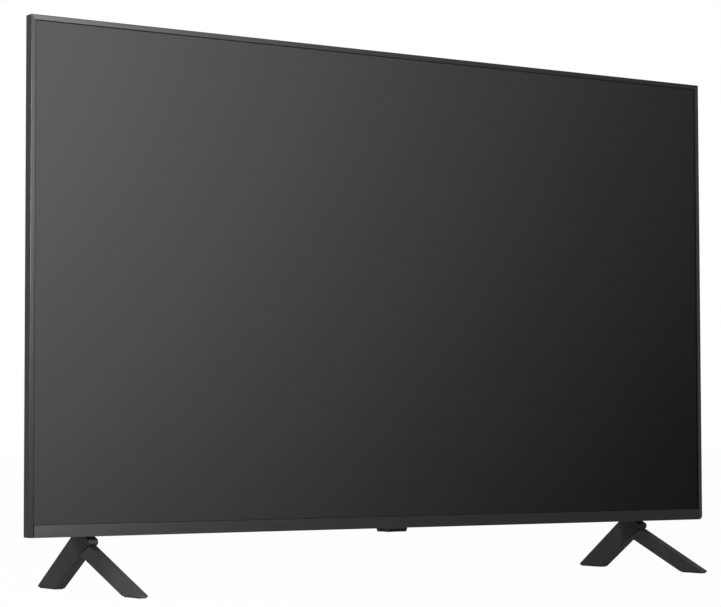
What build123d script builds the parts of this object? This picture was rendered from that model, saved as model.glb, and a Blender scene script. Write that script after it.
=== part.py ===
from build123d import *
from math import atan2, degrees, radians, tan
import os

# Flat screen television standing on two splayed feet, in millimetres.
# The origin is on the surface the set stands on, midway between the tips of the feet.
# X runs to the right as seen from the front, Y runs backwards and Z runs up.
# Depths are measured back from the front face, heights up from the lower edge of the set.

# Whole set
set_width = 967.0
set_height = 564.0
set_depth = 57.0
foot_height = 62.3
stand_depth = 233.4
screen_lead = 18.75
front_y = -screen_lead
base_z = foot_height
overrun = 1.0
seam = 0.2

# Bezels and chin
bezel_lip = 5.5
bezel_lip_thickness = 1.2
bezel_wall = 2.0
bezel_depth = 11.5
bezel_edge_round = 0.8
top_corner_round = 1.3
left_corner_round = 2.3
right_corner_round = 5.5
chin_height = 13.4
chin_gap = 1.5
chin_crease_height = 7.2
chin_top_setback = 0.2
chin_crease_setback = 0.09
chin_floor = 1.6
chin_front_wall = 2.8

# Panel, gasket, guide frame and optical stack
gasket_thickness = 0.5
gasket_reveal = 1.0
gasket_side_reveal = 1.3
gasket_low_reveal = 0.5
gasket_hold = 2.0
panel_thickness = 1.4
panel_clearance = 1.0
panel_low = 8.0
guide_ledge = 8.0
guide_ledge_thickness = 1.2
guide_skirt = 1.6
guide_sill = 19.0
film_thickness = 0.3
diffuser_thickness = 2.0
sheet_clearance = 0.6

# Backlight tray
tray_flange = 7.0
tray_sheet = 0.8
tray_depth = 17.1
tray_slope = 16.0
reflector_thickness = 0.4
reflector_hole_radius = 8.5
led_rows = 3
led_columns = 8
led_bar_width = 16.0
led_bar_thickness = 1.2
led_chip_size = 3.0
led_chip_height = 0.8
led_row_share = 0.333
led_column_share = 0.122
led_bar_share = 0.94
lens_radius = 7.5
lens_height = 5.5
lens_hollow_radius = 3.0
lens_hollow_height = 1.6
lens_peg_radius = 0.8
lens_peg_reach = 5.0

# Rear cover
cover_wall = 2.0
cover_inset = 3.0
cover_slope = 14.0
cover_flat_depth = 33.0
hump_share = 0.44467
hump_rear_share = 0.42916
hump_top = 380.0
hump_top_rear = 354.0
cover_edge_round = 3.0
vent_width = 3.0
vent_length = 26.0
vent_pitch = 8.0
vent_count = 60
vent_height = 272.0
low_vent_height = 104.0
low_vent_length = 18.0
low_vent_count = 44
grille_width = 2.0
grille_length = 14.0
grille_pitch = 5.0
grille_count = 22
cover_screw_share = 0.46329
cover_screw_low = 60.0
cover_screw_mid = 300.0
cover_screw_drop = 39.0
cover_screw_inner_x = 150.0
cover_screw_inner_share = 0.31
cover_screw_radius = 1.5
cover_screw_head = 3.0
cover_screw_head_height = 2.0
cover_screw_length = 5.0
cover_screw_recess = 2.2
cover_boss_radius = 5.5
cover_boss_drop = 1.2
standoff_radius = 3.5

# Heads of all screws, as shares of their own radius and height
head_round_share = 0.35
recess_length_share = 1.25
recess_width_share = 0.3
recess_depth_share = 0.55

# Wall bracket nuts
vesa_spacing = 200.0
vesa_height = 225.0
vesa_bore = 3.0
vesa_bore_depth = 22.0
vesa_boss_radius = 8.0
vesa_recess = 1.0
vesa_clearance = 0.6

# Circuit boards
board_standoff = 6.0
board_thickness = 1.6
board_post_radius = 2.5
board_screw_radius = 1.5
board_screw_head = 2.8
board_screw_head_height = 1.8
board_hole_inset = 6.0
thread_clearance = 0.05
main_low_share = 0.13444
main_high_share = 0.34126
main_low = 150.0
main_high = 290.0
power_low_share = 0.35677
power_high_share = 0.13444
power_height = 160.0
led_lead_drop = 26.0
timing_half_width = 100.0
timing_low = 40.0
timing_high = 90.0
chip_size = 24.0
chip_height = 2.0
plug_height = 6.0
plug_width = 10.0
plug_length = 26.0
flat_plug_height = 1.5
sink_size = 60.0
sink_base = 3.0
sink_fin_height = 9.0
sink_fin_width = 1.6
sink_fin_pitch = 5.2
sink_fin_count = 11
transformer_width = 42.0
transformer_length = 34.0
transformer_height = 18.0
transformer_window = 8.0
capacitor_radius = 8.0
capacitor_length = 17.0
capacitor_pitch = 20.0
capacitor_count = 3
capacitor_edge_round = 1.0

# Socket bay, sockets and mains inlet
bay_width = 62.0
bay_floor_depth = 31.0
bay_clearance = 2.0
inlet_bay_width = 50.0
inlet_bay_rise = 51.9
inlet_bay_height = 60.0
socket_margin = 12.0
socket_pitch = 20.0
hdmi_width = 15.0
hdmi_height = 5.6
hdmi_length = 12.0
hdmi_count = 3
hdmi_wall = 0.5
hdmi_tongue = 1.0
usb_width = 13.1
usb_height = 5.7
usb_length = 14.0
usb_count = 2
usb_wall = 0.4
usb_tongue = 1.8
tongue_margin = 1.2
lan_width = 16.0
lan_height = 13.4
lan_length = 16.0
lan_opening_width = 11.8
lan_opening_height = 8.4
lan_opening_depth = 12.0
aerial_base = 14.0
aerial_radius = 4.75
aerial_length = 9.0
aerial_bore = 1.2
aerial_bore_depth = 8.0
inlet_width = 26.0
inlet_height = 16.0
inlet_length = 22.0
inlet_opening_width = 18.2
inlet_opening_height = 10.0
inlet_opening_depth = 13.0
inlet_pin_radius = 1.2
inlet_pin_spacing = 8.6
inlet_pin_length = 9.0
socket_proud = 0.6
socket_hole_clearance = 0.4

# Loudspeakers
speaker_share = 0.2999
speaker_width = 120.0
speaker_low = 6.0
speaker_height = 42.0
speaker_near = 30.0
speaker_depth = 23.0
speaker_wall = 1.5
speaker_ear = 12.0
speaker_ear_thickness = 5.0
driver_length = 64.0
driver_width = 17.0
driver_rim = 1.5
driver_rim_width = 2.5
cone_depth = 6.0
cone_length = 34.0
cone_width = 8.0
magnet_length = 28.0
magnet_width = 14.0
magnet_height = 8.0
bush_radius = 4.5
bush_bore = 2.1
bush_length = 8.0
peg_radius = 2.0

# Receiver and power button under the middle of the set
receiver_top_width = 30.4
receiver_low_width = 27.0
receiver_lip_near = 1.5
receiver_drop = 4.5
receiver_rise = 7.0
receiver_depth = 10.9
receiver_wall = 1.2
receiver_ledge = 2.0
window_half_width = 13.0
window_low_drop = 3.9
window_high_drop = 1.0
receiver_board_height = 3.0
receiver_board_thickness = 1.0
sensor_x = 8.8
sensor_width = 6.0
sensor_depth = 4.5
sensor_height = 5.0
sensor_lens_radius = 2.0
switch_size = 6.0
switch_height = 3.6
switch_well_radius = 1.8
switch_well_depth = 2.2
plunger_radius = 1.7
button_depth = 17.15
button_length = 9.0
button_width = 6.0
button_proud = 0.8
button_travel = 0.8
button_clearance = 0.3
button_flange = 0.9
button_flange_thickness = 0.9

# Feet
leg_share = 0.41003
rear_leg_thickness = 12.6
front_leg_thickness = 10.0
leg_edge_round = 0.8
neck_front = 27.0
neck_rear = 53.8
neck_rise = 2.8
shoulder_depth = 24.5
shoulder_drop = 0.8
nose_depth = 16.3
nose_top_drop = 4.3
nose_low_drop = 9.0
nose_round = 2.9
hip_depth = 34.0
hip_drop = 20.5
hip_contact_share = 0.03
rear_sole = 41.7
front_sole = 39.2
collar_depth = 15.0
collar_drop = 10.8
toe_height = 2.4
toe_round = 1.0
pad_thickness = 1.0
pad_inset = 1.6
tenon_length = 22.0
tenon_height = 6.0
tenon_thickness = 5.0
tenon_lift = 4.4
tenon_clearance = 0.15
tongue_near = 34.5
tongue_far = 50.0
tongue_height = 36.0
bracket_wall = 1.5
bracket_clearance = 0.3
bracket_low = 10.0
bracket_high = 46.0
bracket_plate_low = 32.0
bracket_plate_high = 64.0
bracket_plate_width = 46.0
foot_screw_radius = 2.0
foot_screw_length = 14.0
foot_screw_head = 4.0
foot_screw_head_height = 2.8
foot_screw_low = 17.0
foot_screw_pitch = 12.0
foot_screw_access = 4.6

# Leads
lead_radius = 2.2
led_lead_radius = 1.8
thin_lead_radius = 1.4
bend_share = 0.45
ribbon_thickness = 0.2
ribbon_width = 40.0
ribbon_middle_x = 55.0
display_cable_width = 22.0
display_cable_thickness = 0.3

# Depths of the stack, each layer seated on the one in front of it
gasket_far = bezel_lip_thickness + gasket_thickness
panel_far = gasket_far + panel_thickness
ledge_far = panel_far + guide_ledge_thickness
prism_far = ledge_far + film_thickness
film_far = prism_far + film_thickness
diffuser_far = film_far + diffuser_thickness
flange_far = diffuser_far + tray_sheet
tray_far = flange_far + tray_depth
tray_inner_far = tray_far - tray_sheet
bar_near = tray_inner_far - led_bar_thickness
board_near = tray_far + board_standoff
board_far = board_near + board_thickness

# Half widths and heights of the nested frames
half_width = set_width / 2
guide_half = half_width - bezel_wall - seam
guide_top = set_height - bezel_wall - seam
guide_low = chin_floor + seam
sheet_half = guide_half - guide_skirt - sheet_clearance
sheet_top = guide_top - guide_skirt - sheet_clearance
sheet_low = guide_low + guide_skirt + sheet_clearance
mouth_half = sheet_half - tray_flange
mouth_top = sheet_top - tray_flange
mouth_low = sheet_low + tray_flange
cover_half = half_width - cover_inset
cover_top = set_height - cover_inset
cover_low = cover_inset
hump_half_width = hump_share * set_width
hump_half_width_rear = hump_rear_share * set_width
cover_screw_x = cover_screw_share * set_width
cover_screw_high = set_height - cover_screw_drop
cover_screw_inner_height = hump_top + cover_screw_inner_share * (cover_screw_high - hump_top)
speaker_middle_x = speaker_share * set_width
leg_middle_x = leg_share * set_width
main_low_x = main_low_share * set_width
main_high_x = main_high_share * set_width
power_low_x = -power_low_share * set_width
power_high_x = -power_high_share * set_width
main_screw_x = (main_low_x, main_high_x - lan_length)
bay_low_x = main_high_x + bay_clearance
bay_high_x = bay_low_x + bay_width
inlet_bay_high_x = power_low_x - bay_clearance
inlet_bay_low_x = inlet_bay_high_x - inlet_bay_width
inner_depth = set_depth - cover_wall


def facing(depth):
    """Plane seen from the front, this far behind the front face, from the set's lower edge."""
    return Plane(origin=(0, front_y + depth, base_z), x_dir=(1, 0, 0), z_dir=(0, -1, 0))


def from_side(x):
    """Plane across the set, with depth to the right and height up, facing +X."""
    return Plane(origin=(x, front_y, base_z), x_dir=(0, 1, 0), z_dir=(1, 0, 0))


def level(height):
    """Level plane at a height above the set's lower edge, with depth upwards in the sketch."""
    return Plane(origin=(0, front_y, base_z + height), x_dir=(1, 0, 0), z_dir=(0, 0, 1))


def block(x, depth, height, mode=Mode.ADD):
    """Block between two limits across, in depth and in height."""
    with BuildSketch(facing(depth[1])) as outline:
        with Locations(((x[0] + x[1]) / 2, (height[0] + height[1]) / 2)):
            Rectangle(x[1] - x[0], height[1] - height[0])
    extrude(outline.sketch, amount=depth[1] - depth[0], mode=mode)


def rods(points, radius, depth, mode=Mode.ADD):
    """Round bars or bores along the depth, at points across and up."""
    with BuildSketch(facing(depth[1])) as ends:
        with Locations(*points):
            Circle(radius)
    extrude(ends.sketch, amount=depth[1] - depth[0], mode=mode)


def taper(near, far, mode=Mode.ADD):
    """Solid between two rectangles, each given as depth, limits across and limits in height."""
    outlines = []
    for depth, x, height in (near, far):
        with BuildSketch(facing(depth)) as outline:
            with Locations(((x[0] + x[1]) / 2, (height[0] + height[1]) / 2)):
                Rectangle(x[1] - x[0], height[1] - height[0])
        outlines.append(outline.sketch)
    loft(outlines, mode=mode)


def set_outline(points):
    """Rounded front outline of the whole set, as far as a polygon of it reaches."""
    with BuildSketch() as outline:
        with Locations((0, set_height / 2)):
            Rectangle(set_width, set_height)
        fillet(outline.vertices().group_by(Axis.Y)[-1], radius=top_corner_round)
        lower = outline.vertices().group_by(Axis.Y)[0].sort_by(Axis.X)
        fillet(lower[0], radius=left_corner_round)
        lower = outline.vertices().group_by(Axis.Y)[0].sort_by(Axis.X)
        fillet(lower[-1], radius=min(right_corner_round, bezel_lip - seam))
        with BuildLine():
            Polyline(*points, close=True)
        make_face(mode=Mode.INTERSECT)
    return outline.sketch


def make_bezel(points, cut_x, cut_height):
    """One bezel: a front lip within a polygon, with a wall behind its outer edge."""
    lip = set_outline(points)
    with BuildPart() as bezel:
        with BuildSketch(facing(bezel_depth)):
            add(lip)
        extrude(amount=bezel_depth)
        longest = bezel.edges().group_by(Axis.Y)[0].sort_by(Edge.length)[-2:]
        outer = longest.sort_by(lambda edge: edge.center().length)[-1]
        fillet(outer, radius=bezel_edge_round)
        block(cut_x, (bezel_lip_thickness, bezel_depth + overrun), cut_height, Mode.SUBTRACT)
    return bezel


def make_side_bezel(side):
    """Left or right bezel, from the lower edge up to the mitre."""
    outer = side * half_width
    inner = outer - side * bezel_lip
    mitre = set_height - bezel_lip
    wall = outer - side * bezel_wall
    points = [(outer, 0), (outer, set_height), (inner, mitre), (inner, 0)]
    cut_x = sorted((wall, inner - side * overrun))
    return make_bezel(points, cut_x, (-overrun, set_height - bezel_wall))


def make_top_bezel():
    """Top bezel between the two mitres."""
    inner = half_width - bezel_lip
    low = set_height - bezel_lip
    points = [(-half_width, set_height), (half_width, set_height), (inner, low), (-inner, low)]
    reach = half_width - bezel_wall
    return make_bezel(points, (-reach, reach), (low - overrun, set_height - bezel_wall))


def make_chin():
    """Lower front strip, gently creased, with a floor that runs back to the rear cover."""
    low_x = -half_width + bezel_lip + chin_gap
    high_x = half_width - bezel_lip - seam
    step = panel_low - sheet_clearance
    with BuildPart() as bottom_chin:
        with BuildSketch(from_side(low_x)):
            with BuildLine():
                Polyline(
                    (chin_top_setback, chin_height),
                    (chin_crease_setback, chin_crease_height),
                    (0, 0),
                    (bezel_depth, 0),
                    (bezel_depth, chin_floor),
                    (chin_front_wall, chin_floor),
                    (chin_front_wall, step),
                    (bezel_lip_thickness, step),
                    (bezel_lip_thickness, chin_height),
                    close=True,
                )
            make_face()
        extrude(amount=high_x - low_x)
    return bottom_chin


def make_ring(outer_x, outer_height, inner_x, inner_height, depth):
    """Flat rectangular ring."""
    block((-outer_x, outer_x), depth, outer_height)
    cut = (depth[0] - overrun, depth[1] + overrun)
    block((-inner_x, inner_x), cut, inner_height, Mode.SUBTRACT)


def make_gasket():
    """Black foam ring between the bezels and the glass, showing as a thin line round the screen."""
    reveal = bezel_lip + gasket_reveal
    with BuildPart() as panel_gasket:
        make_ring(
            half_width - bezel_wall - gasket_hold,
            (panel_low + gasket_hold, set_height - bezel_wall - gasket_hold),
            half_width - bezel_lip - gasket_side_reveal,
            (chin_height + gasket_low_reveal, set_height - reveal),
            (bezel_lip_thickness, gasket_far),
        )
    return panel_gasket


def make_panel():
    """Glass display panel."""
    reach = half_width - bezel_wall - panel_clearance
    with BuildPart() as lcd_panel:
        top = set_height - bezel_wall - panel_clearance
        block((-reach, reach), (gasket_far, panel_far), (panel_low, top))
    return lcd_panel


def make_guide_frame():
    """Plastic frame whose ledge carries the panel in front and holds the sheets behind."""
    inner = guide_half - guide_ledge
    skirt_inner = guide_half - guide_skirt
    with BuildPart() as guide_frame:
        block((-guide_half, guide_half), (panel_far, bezel_depth), (guide_low, guide_top))
        block(
            (-inner, inner),
            (panel_far - overrun, bezel_depth + overrun),
            (guide_sill, guide_top - guide_ledge),
            Mode.SUBTRACT,
        )
        block(
            (-skirt_inner, skirt_inner),
            (ledge_far, bezel_depth + overrun),
            (guide_low + guide_skirt, guide_top - guide_skirt),
            Mode.SUBTRACT,
        )
        for side in (-1, 1):
            middle = side * ribbon_middle_x
            half = ribbon_width / 2 + sheet_clearance
            block(
                (middle - half, middle + half),
                (panel_far - overrun, ledge_far + overrun),
                (guide_low + guide_skirt, guide_sill + overrun),
                Mode.SUBTRACT,
            )
    return guide_frame


def make_sheet(near, far):
    """One sheet of the optical stack behind the panel."""
    with BuildPart() as sheet:
        block((-sheet_half, sheet_half), (near, far), (sheet_low, sheet_top))
    return sheet


def tray_opening(depth, inset):
    """Limits of the tray's inside at a depth, drawn in by an inset."""
    slide = tray_slope * (depth - flange_far) / tray_depth + inset
    x = (-mouth_half + slide, mouth_half - slide)
    return (depth, x, (mouth_low + slide, mouth_top - slide))


def tray_floor():
    """Half width, low and high limits of the flat rear of the tray."""
    depth, x, height = tray_opening(tray_far, 0)
    return x[1], height[0], height[1]


def led_points():
    """Middle of each light source, in rows and columns on the tray floor."""
    pitch = led_column_share * 2 * tray_floor()[0]
    return [
        ((column - (led_columns - 1) / 2) * pitch, height)
        for height in led_row_heights()
        for column in range(led_columns)
    ]


def led_row_heights():
    """Height of each row of light sources."""
    half, low, high = tray_floor()
    middle = (low + high) / 2
    return [
        middle + (row - (led_rows - 1) / 2) * led_row_share * (high - low)
        for row in range(led_rows)
    ]


def cover_screw_points():
    """Places of the screws that hold the rear cover."""
    edge = [
        (side * cover_screw_x, height)
        for side in (-1, 1)
        for height in (cover_screw_low, cover_screw_mid, cover_screw_high)
    ]
    inner = [
        (side * cover_screw_inner_x, height)
        for side in (-1, 1)
        for height in (cover_screw_inner_height, cover_screw_high)
    ]
    return edge + inner


def vesa_points():
    """Four corners of the wall bracket pattern."""
    return [
        (side * vesa_spacing / 2, vesa_height + rise * vesa_spacing / 2)
        for side in (-1, 1)
        for rise in (-1, 1)
    ]


def board_corners(x, height):
    """Screw places near the corners of a circuit board."""
    return [
        (across, up)
        for across in (x[0] + board_hole_inset, x[1] - board_hole_inset)
        for up in (height[0] + board_hole_inset, height[1] - board_hole_inset)
    ]


def board_points():
    """Screw places of all three large boards."""
    main = board_corners(main_screw_x, (main_low, main_high))
    power = board_corners((power_low_x, power_high_x), (power_low, power_high))
    half = timing_half_width
    timing = board_corners((-half, half), (timing_low, timing_high))
    return main + power + timing


def speaker_ears():
    """Middle of each ear of the two loudspeakers."""
    reach = speaker_width / 2 + speaker_ear / 2
    middle = speaker_low + speaker_height / 2
    return [
        (side * speaker_middle_x + end * reach, middle) for side in (-1, 1) for end in (-1, 1)
    ]


led_lead_x = power_high_x - plug_length
led_lead_height = led_row_heights()[0]
power_low = led_lead_height + led_lead_drop
power_high = power_low + power_height
inlet_bay_low = power_low + inlet_bay_rise
inlet_bay_high = inlet_bay_low + inlet_bay_height


def make_chassis():
    """Pressed steel tray that holds the backlight in front and everything else behind."""
    wall = tray_sheet
    with BuildPart() as back_chassis:
        block((-sheet_half, sheet_half), (diffuser_far, flange_far), (sheet_low, sheet_top))
        taper(tray_opening(flange_far, -wall), tray_opening(tray_far, -wall))
        near = tray_opening(flange_far, 0)
        block(near[1], (diffuser_far - overrun, flange_far), near[2], Mode.SUBTRACT)
        taper(near, tray_opening(tray_inner_far, 0), Mode.SUBTRACT)
        rods([(led_lead_x, led_lead_height)], led_lead_radius + seam,
             (tray_inner_far - overrun, tray_far + overrun), Mode.SUBTRACT)
        rods(speaker_ears(), peg_radius, (tray_far, speaker_near + speaker_depth / 2 + bush_length / 2))
    return back_chassis


def make_reflector():
    """White sheet that lines the tray, with a hole at each lens."""
    near_depth = flange_far
    outer_far = tray_opening(bar_near, sheet_clearance)
    inner_depth_far = bar_near - reflector_thickness
    with BuildPart() as reflector_sheet:
        taper(tray_opening(near_depth, sheet_clearance), outer_far)
        inset = sheet_clearance + reflector_thickness
        taper(tray_opening(near_depth, inset), tray_opening(inner_depth_far, inset), Mode.SUBTRACT)
        rods(led_points(), reflector_hole_radius, (inner_depth_far - overrun, bar_near + overrun),
             Mode.SUBTRACT)
    return reflector_sheet


def make_led_bars():
    """Metal strips along the tray floor, each with its row of light sources."""
    half = tray_floor()[0] * led_bar_share
    with BuildPart() as led_bars:
        for height in led_row_heights():
            limits = (height - led_bar_width / 2, height + led_bar_width / 2)
            block((-half, half), (bar_near, tray_inner_far), limits)
        with BuildSketch(facing(bar_near)) as chips:
            with Locations(*led_points()):
                Rectangle(led_chip_size, led_chip_size)
        extrude(chips.sketch, amount=led_chip_height)
    return led_bars


def make_lenses():
    """Domed lens over each light source, standing on three short pegs."""
    with BuildPart(mode=Mode.PRIVATE) as lens:
        with BuildSketch(Plane.XZ):
            with BuildLine():
                rim = (lens_radius, lens_hollow_height)
                Polyline((0, lens_height), (0, lens_hollow_height), (lens_hollow_radius, 0),
                         (lens_radius, 0), rim)
                TangentArc((0, lens_height), rim, tangent=(1, 0))
            make_face()
        revolve(axis=Axis.Z)
        with BuildSketch(Plane.XY.offset(-led_chip_height)):
            with PolarLocations(lens_peg_reach, 3):
                Circle(lens_peg_radius)
        extrude(amount=led_chip_height)
    with BuildPart(facing(bar_near - led_chip_height)) as led_lenses:
        with Locations(*led_points()):
            add(lens.part)
    return led_lenses


def cover_form(inset, mode=Mode.ADD):
    """Solid form of the rear cover drawn in by an inset: a shallow tray with a deeper lower hump."""
    low = cover_low + inset
    half = cover_half - inset
    top = cover_top - inset
    near = (bezel_depth, (-half, half), (low, top))
    half -= cover_slope
    taper(near, (cover_flat_depth - inset, (-half, half), (low, top - cover_slope)), mode)
    half = hump_half_width - inset
    near = (cover_flat_depth - 2 * cover_wall, (-half, half), (low, hump_top - inset))
    half = hump_half_width_rear - inset
    taper(near, (set_depth - inset, (-half, half), (low, hump_top_rear - inset)), mode)


def main_sockets():
    """Name, height, breadth and depth of each socket on the edge of the main board."""
    rows = [("hdmi", hdmi_width, hdmi_height)] * hdmi_count
    rows += [("usb", usb_width, usb_height)] * usb_count
    rows += [("lan", lan_width, lan_height), ("aerial", aerial_base, aerial_base)]
    start = main_low + socket_margin
    return [
        (name, start + place * socket_pitch, breadth, depth)
        for place, (name, breadth, depth) in enumerate(rows)
    ]


def grow(limits, margin):
    """Limits widened by a margin at both ends."""
    return (limits[0] - margin, limits[1] + margin)


def around(middle, size):
    """Limits of a size about its middle."""
    return (middle - size / 2, middle + size / 2)


def foot_screw_points():
    """Places of the screws that hold the feet."""
    return [
        (side * leg_middle_x, foot_screw_low + step * foot_screw_pitch)
        for side in (-1, 1)
        for step in (0, 1)
    ]


tongue_width = rear_leg_thickness - 2 * leg_edge_round
speaker_middle_depth = speaker_near + speaker_depth / 2
inlet_height_middle = (inlet_bay_low + inlet_bay_high) / 2
inlet_plate_x = (inlet_bay_high_x, inlet_bay_high_x + cover_wall)
receiver_near = bezel_depth + seam
receiver_far = receiver_near + receiver_depth


def cut_bays():
    """Recesses in the hump for the sockets and the mains inlet."""
    bays = (
        ((bay_low_x, bay_high_x), (main_low, main_high)),
        ((inlet_bay_low_x, inlet_bay_high_x), (inlet_bay_low, inlet_bay_high)),
    )
    for x, height in bays:
        walls = (bay_floor_depth - cover_wall, set_depth - cover_wall / 2)
        block(grow(x, cover_wall), walls, grow(height, cover_wall))
        block(x, (bay_floor_depth, set_depth + overrun), height, Mode.SUBTRACT)
    wall = (bay_low_x - cover_wall - overrun, bay_low_x + overrun)
    for name, height, breadth, depth in main_sockets():
        size = grow((board_far, board_far + depth), socket_hole_clearance)
        up = grow(around(height, breadth), socket_hole_clearance)
        block(wall, size, up, Mode.SUBTRACT)
    block(grow(inlet_plate_x, overrun), (bay_floor_depth, inner_depth),
          (inlet_bay_low, inlet_bay_high), Mode.SUBTRACT)


def cut_vents():
    """Rows of slots in the rear face and sound slots under the loudspeakers."""
    through = cover_wall + 2 * overrun
    with BuildSketch(facing(set_depth + overrun)) as slots:
        with Locations((0, vent_height)):
            with GridLocations(vent_pitch, vent_pitch, vent_count, 1):
                Rectangle(vent_width, vent_length)
        with Locations((0, low_vent_height)):
            with GridLocations(vent_pitch, vent_pitch, low_vent_count, 1):
                Rectangle(vent_width, low_vent_length)
    extrude(slots.sketch, amount=through, mode=Mode.SUBTRACT)
    with BuildSketch(level(cover_low - overrun)) as grille:
        for side in (-1, 1):
            with Locations((side * speaker_middle_x, speaker_middle_depth)):
                with GridLocations(grille_pitch, grille_pitch, grille_count, 1):
                    Rectangle(grille_width, grille_length)
    extrude(grille.sketch, amount=through, mode=Mode.SUBTRACT)


def make_cover():
    """Rear cover with its hump, recesses, vents and screw places."""
    inner_flat = cover_flat_depth - cover_wall
    boss_near = inner_flat - cover_boss_drop
    hole = cover_screw_radius + seam
    head = cover_screw_head + seam
    floor = (cover_low - overrun, cover_low + cover_wall + overrun)
    rear = (inner_depth - overrun, set_depth + overrun)
    with BuildPart() as rear_cover:
        cover_form(0)
        fillet(rear_cover.edges().group_by(Axis.Y)[-1], radius=cover_edge_round)
        cover_form(cover_wall, Mode.SUBTRACT)
        cut_bays()
        rods(cover_screw_points(), cover_boss_radius, (boss_near, cover_flat_depth))
        rods(cover_screw_points(), hole, (boss_near - overrun, cover_flat_depth), Mode.SUBTRACT)
        recess = (cover_flat_depth - cover_screw_recess, cover_flat_depth + overrun)
        rods(cover_screw_points(), head, recess, Mode.SUBTRACT)
        rods(vesa_points(), vesa_boss_radius + vesa_clearance, rear, Mode.SUBTRACT)
        rods(foot_screw_points(), foot_screw_access, rear, Mode.SUBTRACT)
        for side in (-1, 1):
            across = grow(around(side * leg_middle_x, tongue_width), bracket_clearance)
            along = grow((tongue_near, tongue_far), bracket_clearance)
            block(across, along, floor, Mode.SUBTRACT)
        across = grow((-receiver_top_width / 2, receiver_top_width / 2), seam)
        block(across, (bezel_depth - overrun, receiver_far + seam), floor, Mode.SUBTRACT)
        cut_vents()
    return rear_cover


def make_inlet_plate():
    """Plate that closes one side of the inlet's recess, with a hole that fits the inlet."""
    with BuildPart() as inlet_plate:
        block(inlet_plate_x, grow((bay_floor_depth, inner_depth), -seam),
              grow((inlet_bay_low, inlet_bay_high), -seam))
        size = grow((board_far, board_far + inlet_height), socket_hole_clearance)
        up = grow(around(inlet_height_middle, inlet_width), socket_hole_clearance)
        block(grow(inlet_plate_x, overrun), size, up, Mode.SUBTRACT)
    return inlet_plate


def make_posts(points, radius, bore, depth, bore_near):
    """Round steel posts with a threaded bore open at the rear."""
    with BuildPart() as posts:
        rods(points, radius, depth)
        rods(points, bore, (bore_near, depth[1] + overrun), Mode.SUBTRACT)
    return posts


def make_screws(points, radius, shank, head_radius, head_height):
    """Round-headed screws with a cross recess, whose heads bear on the far end of the shank."""
    top = shank[1] + head_height
    with BuildPart() as screws:
        rods(points, radius, shank)
        rods(points, head_radius, (shank[1], top))
        rims = screws.edges().group_by(Axis.Y)[-1]
        fillet(rims, radius=head_round_share * head_height)
        with BuildSketch(facing(top)) as recesses:
            with Locations(*points):
                Rectangle(recess_length_share * head_radius, recess_width_share * head_radius)
                Rectangle(recess_width_share * head_radius, recess_length_share * head_radius)
        extrude(recesses.sketch, amount=recess_depth_share * head_height, mode=Mode.SUBTRACT)
    return screws


def make_cover_posts():
    """Posts on the tray that the rear cover is screwed to."""
    top = cover_flat_depth - cover_wall - cover_boss_drop
    bore_near = cover_flat_depth - cover_screw_recess - cover_screw_length - seam
    bore = cover_screw_radius + thread_clearance
    return make_posts(cover_screw_points(), standoff_radius, bore, (tray_far, top), bore_near)


def make_cover_screws():
    """Screws that hold the rear cover."""
    seat = cover_flat_depth - cover_screw_recess
    shank = (seat - cover_screw_length, seat)
    return make_screws(cover_screw_points(), cover_screw_radius, shank, cover_screw_head,
                       cover_screw_head_height)


def make_vesa_nuts():
    """Threaded steel bosses for a wall bracket."""
    top = set_depth - vesa_recess
    return make_posts(vesa_points(), vesa_boss_radius, vesa_bore, (tray_far, top),
                      top - vesa_bore_depth)


def make_board(x, height):
    """Bare circuit board with its screw holes, added to the part being built."""
    block(x, (board_near, board_far), height)
    hole = board_screw_radius + seam
    points = [point for point in board_points() if x[0] < point[0] < x[1]]
    rods(points, hole, (board_near - overrun, board_far + overrun), Mode.SUBTRACT)


def plug(x, height):
    """Plug on the rear of a board."""
    block(x, (board_far, board_far + plug_height), height)


main_middle = ((main_low_x + main_high_x) / 2, (main_low + main_high) / 2)
lead_depth = board_far + plug_height / 2
power_lead_height = (main_low + main_high) / 2 + plug_length / 4
cable_depth = board_far + flat_plug_height
receiver_lead_x = main_low_x + plug_length - plug_width / 2
left_speaker_lead_x = receiver_lead_x + 2 * plug_width
right_speaker_lead_x = left_speaker_lead_x + 2 * plug_width
wifi_lead_height = main_low + socket_margin + 2 * socket_pitch
display_cable_low = main_low + board_hole_inset + plug_width / 2


def make_main_board():
    """Main board with its processor, memory and plugs."""
    with BuildPart() as main_board:
        make_board((main_low_x, main_high_x), (main_low, main_high))
        across = around(main_middle[0], chip_size)
        up = around(main_middle[1], chip_size)
        block(across, (board_far, board_far + chip_height), up)
        with BuildSketch(facing(board_far + chip_height)) as memory:
            with Locations(main_middle):
                with GridLocations(2 * sink_size, chip_size, 2, 3):
                    Rectangle(chip_size / 2, chip_size / 2)
        extrude(memory.sketch, amount=chip_height)
        side = (main_low_x, main_low_x + plug_width)
        plug(side, around(power_lead_height, plug_length))
        plug(side, around(wifi_lead_height, plug_width))
        low = (main_low, main_low + plug_width)
        for x in (receiver_lead_x, left_speaker_lead_x, right_speaker_lead_x):
            plug(around(x, plug_width), low)
        up = (display_cable_low, display_cable_low + display_cable_width)
        block(side, (board_far, cable_depth), up)
    return main_board


def make_heat_sink():
    """Finned aluminium heat sink that sits on the processor."""
    near = board_far + chip_height
    with BuildPart() as heat_sink:
        across = around(main_middle[0], sink_size)
        up = around(main_middle[1], sink_size)
        block(across, (near, near + sink_base), up)
        with BuildSketch(facing(near + sink_base + sink_fin_height)) as fins:
            with Locations(main_middle):
                with GridLocations(sink_fin_pitch, sink_size, sink_fin_count, 1):
                    Rectangle(sink_fin_width, sink_size)
        extrude(fins.sketch, amount=sink_fin_height)
    return heat_sink


power_middle = ((power_low_x + power_high_x) / 2, (power_low + power_high) / 2)
transformer_x = power_middle[0] + transformer_width / 2
capacitor_x = power_low_x + inlet_length + capacitor_pitch


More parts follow.
